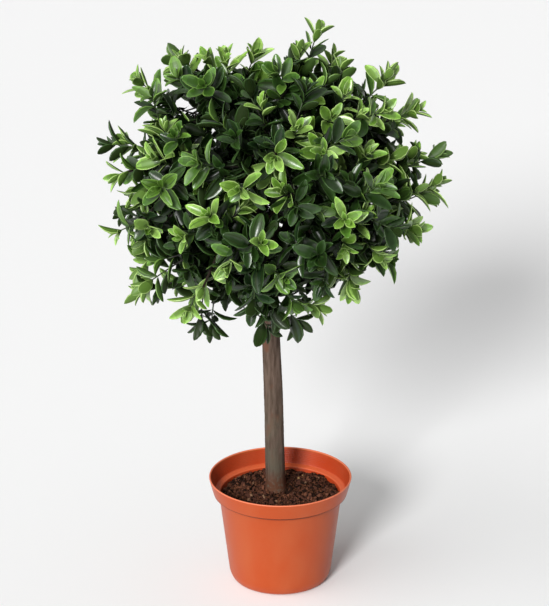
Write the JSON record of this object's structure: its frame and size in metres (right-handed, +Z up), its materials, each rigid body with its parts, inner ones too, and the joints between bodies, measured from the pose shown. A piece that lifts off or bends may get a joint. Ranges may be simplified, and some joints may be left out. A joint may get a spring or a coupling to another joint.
{
  "type": "artificial potted box topiary ball",
  "caption": "Artificial box plant trained as a ball of small leaves on a bare stem, standing in a round plastic pot filled with soil.",
  "frame": {"origin": "middle of the pot's flat underside", "axes": "+Z up along the stem, -Y towards the viewer, +X to the viewer's right"},
  "size_m": [0.2939, 0.2827, 0.4767],
  "materials": {
    "pot": "satin terracotta-coloured moulded plastic",
    "soil": "loose dark brown peat crumbs",
    "trunk": "dry grey-brown bark",
    "bough": "thin dark brown-green twigs",
    "foliage": "satin green leaves with a pale rim"
  },
  "bodies": {
    "root": {"pot": "pot", "soil": "soil", "trunk": "trunk", "bough_01": "bough", "foliage_01": "foliage", "bough_02": "bough", "foliage_02": "foliage", "bough_03": "bough", "foliage_03": "foliage", "bough_04": "bough", "foliage_04": "foliage", "bough_05": "bough", "foliage_05": "foliage", "bough_06": "bough", "foliage_06": "foliage", "bough_07": "bough", "foliage_07": "foliage", "bough_08": "bough", "foliage_08": "foliage", "bough_09": "bough", "foliage_09": "foliage"}
  },
  "joints": []
}
